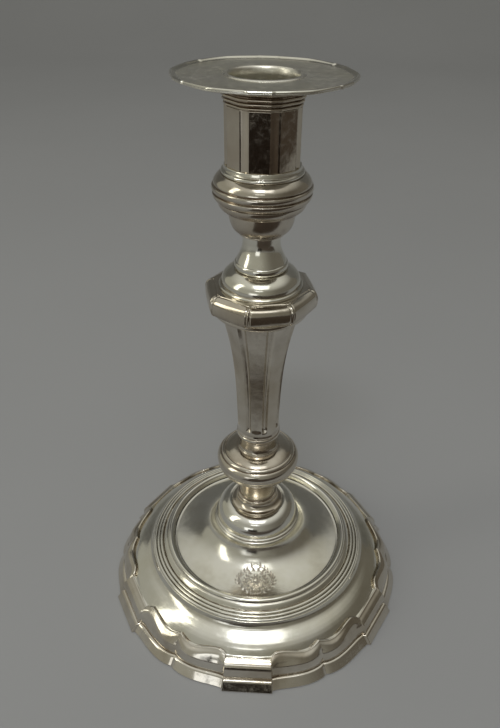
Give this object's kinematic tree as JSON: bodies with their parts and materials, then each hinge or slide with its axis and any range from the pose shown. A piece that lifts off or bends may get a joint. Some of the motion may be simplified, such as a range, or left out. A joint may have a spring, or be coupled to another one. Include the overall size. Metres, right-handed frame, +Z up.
{
  "type": "silver table candlestick",
  "caption": "Candlestick with a lobed moulded foot, domed well, ringed baluster stem, fluted socket and a lift-off contoured drip pan; holds a plain tapered candle.",
  "frame": {"origin": "on the table under the axis of the stem, at the centre of the foot", "axes": "+Z up the stem, -Y towards the front panel of the foot, +X to the right"},
  "size_m": [0.151, 0.151, 0.2526],
  "materials": {
    "bright_silver": "polished silver with fine wear",
    "worn_silver": "polished silver, slightly tarnished",
    "dark_silver": "tarnished silver",
    "steel": "plain steel"
  },
  "bodies": {
    "stick": {"foot_band": "worn_silver", "border_moulding": "worn_silver", "slope_plate": "bright_silver", "reeded_step_ring": "bright_silver", "well_dome": "bright_silver", "dome_crown": "bright_silver", "spool_collar": "dark_silver", "knop_lower_shell": "worn_silver", "knop_upper_shell": "worn_silver", "shaft_collar": "worn_silver", "fluted_shaft": "worn_silver", "shoulder_under_ring": "worn_silver", "shoulder_band": "worn_silver", "shoulder_cap": "bright_silver", "neck_ring": "bright_silver", "socket_neck": "bright_silver", "socket_cup": "worn_silver", "socket_bowl": "worn_silver", "socket_foot_ring": "bright_silver", "socket_tube": "dark_silver", "socket_lip": "dark_silver", "candle_seat": "dark_silver", "tie_rod": "steel", "rod_washer": "steel", "rod_nut": "steel"},
    "drip_pan": {"drip_pan_plate": "bright_silver", "drip_pan_rim": "bright_silver", "drip_pan_sleeve": "bright_silver"}
  },
  "joints": [
    {"name": "drip_pan_lift", "type": "slide", "parent": "stick", "child": "drip_pan", "axis": [0, 0, 1], "range_m": [0, 0.04]}
  ]
}
